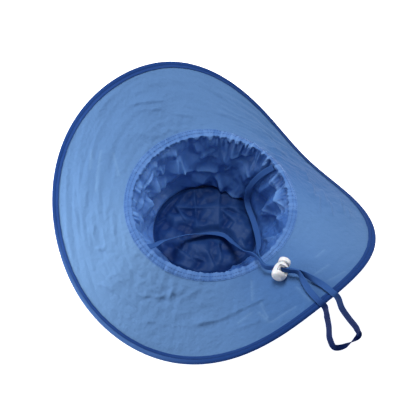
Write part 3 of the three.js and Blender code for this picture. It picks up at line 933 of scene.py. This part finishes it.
# Folds: turn and span in degrees, share down from the opening, reach, depth in millimetres.
wall_folds = [
    (30, 9, 0.5, 0.35, -3.4),
    (54, 16, 0.38, 0.18, 4.4),
    (84, 7, 0.36, 0.3, -4.4),
    (104, 8, 0.5, 0.4, 3.2),
    (126, 6, 0.5, 0.4, -3.6),
    (150, 9, 0.55, 0.36, 3.0),
    (205, 10, 0.5, 0.4, -3.0),
    (240, 12, 0.5, 0.4, 3.2),
    (318, 9, 0.45, 0.35, 4.0),
    (338, 7, 0.4, 0.35, -3.0),
]

# Sharp creases: turn in degrees and share down where one starts and ends, its width and height
# into the crown in millimetres. Seen from inside, its steep side is on the right of that way.
wall_creases = [
    (106, 0.25, 122, 0.27, 1.8, 1.2),
    (116, 0.52, 120, 0.44, 2.0, 1.4),
    (133, 0.76, 124, 0.48, 1.8, 1.6),
    (139, 0.42, 129, 0.37, 1.8, 1.2),
    (105, 0.35, 100, 0.16, 2.0, 1.8),
    (97, 0.49, 97, 0.33, 1.8, 1.6),
    (96, 0.50, 93, 0.35, 1.8, 1.6),
    (108, 0.69, 100, 0.42, 2.0, 1.4),
    (104, 0.86, 96, 0.60, 2.0, 1.4),
    (82, 0.32, 82, 0.15, 2.0, 1.6),
    (84, 0.55, 81, 0.34, 2.0, 1.8),
    (76, 0.62, 78, 0.35, 2.0, 1.8),
    (58, 0.41, 48, 0.33, 1.6, 1.2),
    (65, 0.18, 63, 0.34, 2.0, 1.2),
    (60, 0.43, 46, 0.43, 1.8, 1.4),
    (78, 0.59, 66, 0.64, 1.8, 1.4),
    (64, 0.67, 42, 0.65, 1.8, 1.8),
    (32, 0.48, 36, 0.60, 1.6, 1.2),
    (44, 0.73, 28, 0.96, 1.8, 1.2),
    (10, 0.50, 28, 0.36, 2.0, 1.4),
    (26, 0.92, 8, 0.93, 2.4, 2.2),
    (34, 0.32, 20, 0.20, 1.6, 1.2),
    (351, 0.17, 333, 0.26, 1.8, 1.6),
    (333, 0.26, 318, 0.14, 1.8, 1.6),
    (356, 0.24, 322, 0.30, 2.0, 1.4),
    (338, 0.65, 329, 0.56, 2.0, 1.6),
    (334, 0.74, 315, 0.24, 2.2, 1.4),
    (300, 0.20, 302, 0.65, 2.2, 1.4),
]

# Where slack cloth leans in: turn and span in degrees, share down, reach, depth in millimetres.
wall_leans = [
    (42, 20, 0.84, 0.16, 10.0),
    (15, 12, 0.74, 0.14, 5.0),
    (98, 18, 0.84, 0.16, -3.0),
    (132, 20, 0.84, 0.18, -5.0),
    (66, 12, 0.86, 0.14, 4.0),
    (70, 14, 0.34, 0.14, -5.0),
    (168, 12, 0.70, 0.20, 4.0),
]

strap_tree = kdtree.KDTree(len(strap_path))
for number, spot in enumerate(strap_path):
    strap_tree.insert(spot, number)
strap_tree.balance()


def room_by_strap(spots, near, far):
    """0 where the strap is nearer than near, and 1 where it is further off than far, in metres."""
    away = np.array([strap_tree.find(Vector(spot))[2] for spot in spots])
    return smooth_step(away, near, far)


def wall_top(turn):
    slope = brim_slope(turn)
    under = 0.0015
    corner_radius = brim_radius + under * np.sin(slope)
    corner_height = opening_height - under * np.cos(slope)
    below = corner_height + (wall_top_radius + 0.0012 - corner_radius) * np.tan(slope)
    return np.minimum(opening_height - under, below - 0.0001)


def wall_bulge(turn, share_down, rows):
    """The sum of the folds in rows: turn and span in degrees, share down, reach and depth."""
    return sum(
        depth * near_turn(turn, at, radians(span)) * fading(share_down - middle, reach)
        for at, span, middle, reach, depth in rows
    )


def wall_line(turn, share_down, inward):
    """A place on the wall, so many metres in from its middle shape."""
    taper = np.maximum(0.0, share_down - 0.07) / 0.93
    held = np.sin(pi * np.clip(taper, 0, 1)) ** 0.8
    folds = 1.4 * np.sin(16 * turn + 1.2 * np.sin(3 * turn)) + wall_bulge(turn, taper, wall_folds)
    radius = mixed(wall_top_radius, wall_foot_radius, taper**0.92) + held * folds / 1000 + 0.0002 - inward
    shift = smooth_step(share_down, 0, 1)
    return np.stack([
        mixed(opening_middle.x, tip_middle.x, shift) + radius * np.cos(turn),
        mixed(opening_middle.y, tip_middle.y, shift) + radius * np.sin(turn),
        mixed(wall_top(turn), wall_foot, share_down),
    ], axis=-1)


def wall_pleats(turn, share_down):
    """The gathers under the seam, deepest on the far right, in millimetres."""
    pleats = wavy_round(turn, 16, share_down * 1.5) + 0.7 * wavy_round(turn, 36, share_down * 3)
    gathered = 0.5 + 2.3 * near_turn(turn, ruffle_turn, 0.6) + 1.6 * near_turn(turn, 150, 0.6)
    deep = fading(share_down - 0.08, 0.13) + 0.2 * fading(share_down - 0.28, 0.16)
    return 1.8 * gathered * pleats * deep * smooth_step(share_down, 0, 0.05)


def wall_flat(turn, share_down):
    """A place on the wall laid flat, seen from inside, in millimetres."""
    return -1000 * wall_top_radius * turn, -1000 * wall_depth * share_down


def wall_creased(turn, share_down):
    """Height of the sharp creases in millimetres, on both sides of the wall's seam."""
    lines = [
        (*wall_flat(radians(start), share), *wall_flat(radians(end), end_share), *size)
        for start, share, end, end_share, *size in wall_creases
    ]
    across, down = wall_flat(turn, share_down)
    return sum(pressed(across + lap, down, lines) for lap in (0, 2000 * pi * wall_top_radius))


def wall_painted_light(share_round, share_down):
    """Painted light and shade: the cloth is paler on the crests of the pleats and creases and darker
    in their hollows, and paler on the left and far side, most near the opening, as light that
    comes through it.
    """
    turn = 2 * pi * share_round
    lit_sides = 0.6 * near_turn(turn, 152, 0.8) + 0.25 * near_turn(turn, 75, 0.6)
    ridge_light_and_shade = 0.16 * wall_pleats(turn, share_down) + 0.3 * wall_creased(turn, share_down)
    return np.clip(lit_sides * (1 - share_down) ** 0.4 + ridge_light_and_shade, 0, 1)


def wall_place(share_round, share_down):
    turn = 2 * pi * share_round
    plain = wall_line(turn, share_down, 0.0)
    x, y, z = plain.T
    x = x - 0.008
    free = smooth_step(share_down, 0.03, 0.16) * (1 - smooth_step(share_down, 0.92, 0.995))
    tight = near_turn(turn, 330, 0.8) + near_turn(turn, 80, 0.5)
    broad, small = facets(x, y, z, 0.036, 4.2, 4), facets(x, y, z, 0.015, 7.9, 4)
    crumples = 12.0 * broad + 5.0 * (1 - 0.7 * tight) * small + wall_bulge(turn, share_down, wall_leans)
    inward = free * (crumples + 2.4 * wall_creased(turn, share_down)) + wall_pleats(turn, share_down)
    return wall_line(turn, share_down, inward / 1000 * room_by_strap(plain, 0.0045, 0.011))


wall_mesh = laid_cloth(
    580, 80, wall_place, wall_painted_light,
    lengths=lambda along, across: (along * 2 * pi * wall_top_radius, across * wall_depth),
    facing=(0, -1, 0),
)
wall_nylon = nylon(
    "wall_nylon", (50, 86, 148), (60, 99, 164), (112, 156, 214),
    creases=120.0, crease_depth=0.0008, gloss=0.4, shine=0.24, glow=0.3,
)
wall = finished("crown_wall_cloth", wall_mesh, [wall_nylon], "crown_wall")
thickened(wall, 0.0006)


# The round panel.
# The top of the crown, a disc of the same nylon, painted a deeper blue as the shade it lies in
# on the floor deep inside the crown. The hat lies on it, and the cloth keeps the creases of being
# folded away.

# Broad creases: x, y, heading in degrees, length, width and height in millimetres.
tip_folds = [
    (22, 6, 53, 60, 7, 1.1),
    (-6, 24, -37, 60, 7, 0.9),
    (-28, -20, 20, 40, 9, 0.8),
    (30, -26, -70, 34, 8, 1.0),
]

# Sharp creases: x and y from the panel's middle at the start and end, width and height, in
# millimetres. The steep side is on the right of that way.
tip_creases = [
    (11, -10, 50, 37, 1.6, 0.9),
    (-9, 45, 59, -6, 1.6, 0.9),
    (-9, 5, 23, 55, 1.4, 0.7),
    (-10, 49, -12, 24, 1.8, 1.2),
    (33, 10, 36, -15, 1.8, 1.4),
    (36, -15, 17, -22, 1.8, 1.2),
    (42, 9, 57, -24, 2.2, 1.6),
    (-29, -22, -21, -4, 1.6, 1.2),
    (-23, -47, -17, -24, 2.0, 1.8),
    (-11, -46, 6, -17, 1.8, 1.4),
    (-39, -24, -45, 1, 1.8, 1.4),
    (-45, 44, -31, 44, 1.8, 1.2),
    (-36, -20, -27, -33, 1.8, 1.2),
    (22, -53, 26, -36, 1.8, 1.2),
]


def tip_cut(share_round, share_out):
    """A place on the panel's flat cut, in millimetres from its middle."""
    radius = 1000 * tip_radius * share_out
    return radius * np.cos(2 * pi * share_round), radius * np.sin(2 * pi * share_round)


def tip_relief(x, y):
    """How high the cloth's folds would stand if the floor didn't press them flat, in millimetres."""
    height = pressed(x, y, tip_creases)
    for at_x, at_y, heading, length, width, tall in tip_folds:
        height = height + tall * broad_fold(x - at_x, y - at_y, heading, length, width)
    return 3.6 * height + 8.0 * facets(x, y, 0 * x, 36.0, 2.7, 4) + 3.4 * facets(x, y, 0 * x, 15.0, 5.1, 3)


def tip_place(share_round, share_out):
    x, y = tip_cut(share_round, share_out)
    free = 1 - smooth_step(share_out, 0.86, 0.98)
    plain = np.stack([tip_middle.x + x / 1000, tip_middle.y + y / 1000, 0.003 + 0 * x], axis=-1)
    height = 3.0 * (1 + np.tanh(tip_relief(x, y) / 3.5)) * free * room_by_strap(plain, 0.0055, 0.014)
    plain[:, 2] = tip_thickness - 0.0001 + height / 1000
    return plain


def tip_painted_highlights(share_round, share_out):
    """Painted highlights: the cloth is paler where the folds stand up."""
    return np.clip(0.06 + 0.22 * np.tanh(tip_relief(*tip_cut(share_round, share_out)) / 2.5), 0, 1)


tip_mesh = laid_cloth(
    300, 64, tip_place, tip_painted_highlights,
    lengths=lambda *shares: np.divide(tip_cut(*shares), 1000), face_at=(0.1, 0.5),
)
# Its colours are a deeper blue as painted shade.
tip_nylon_painted_shade = nylon(
    "tip_nylon_painted_shade", (14, 40, 94), (22, 50, 106), (54, 92, 150),
    creases=110.0, crease_depth=0.0006, gloss=0.38, shine=0.09,
)
tip = finished("crown_tip_cloth", tip_mesh, [tip_nylon_painted_shade], "crown_tip")
thickened(tip, 0.0006)


# The studio.
# A plain near-white floor that glows a little, as a light table does, so that shadows stay faint.
# Over it are a pale sky and three soft lights, one of them small and aimed into the crown.
floor_paint, floor_tree, floor_shader, floor_spot = new_material("floor_paint")
floor_colour = blotches(floor_tree, floor_spot, 1.5, 2.0, (248, 248, 248), (252, 252, 252))[1]
wired(floor_tree, floor_shader, {
    "Base Color": floor_colour, "Emission Color": floor_colour, "Emission Strength": 0.95, "Roughness": 0.9})
floor_mesh = bmesh.new()
bmesh.ops.create_grid(floor_mesh, x_segments=2, y_segments=2, size=4.0)
placed("studio_floor", floor_mesh, [floor_paint])

sky = bpy.data.worlds.new("studio_sky")
sky.use_nodes = True
wired(sky.node_tree, sky.node_tree.nodes["Background"], {"Color": (0.95, 0.97, 1.0, 1.0), "Strength": 0.3})
scene.world = sky
scene.view_settings.view_transform = "Standard"

# Lights: turn and height in degrees, distance, width and aim's height in metres, power in watts
# and the angle of the beam in degrees.
studio_lights = [
    ("overhead_light", 50, 66, 0.9, 0.5, 0.0, 6.5, 180),
    ("far_left_light", 150, 20, 0.55, 0.3, 0.0, 2.1, 180),
    ("opening_light", 323, 28, 0.6, 0.1, 0.09, 0.05, 30),
]
for title, turn, height, distance, width, aim, power, beam in studio_lights:
    way = pointing(turn, height)
    light = bpy.data.lights.new(title, "AREA")
    light.shape = "DISK"
    light.size = width
    light.energy = power
    light.spread = radians(beam)
    light.color = (1.0, 0.99, 0.97)
    lamp = bpy.data.objects.new(title, light)
    lamp.location = way * distance + Vector((0, 0, aim))
    lamp.rotation_euler = way.to_track_quat("Z", "Y").to_euler()
    lamp.visible_camera = False
    scene.collection.objects.link(lamp)
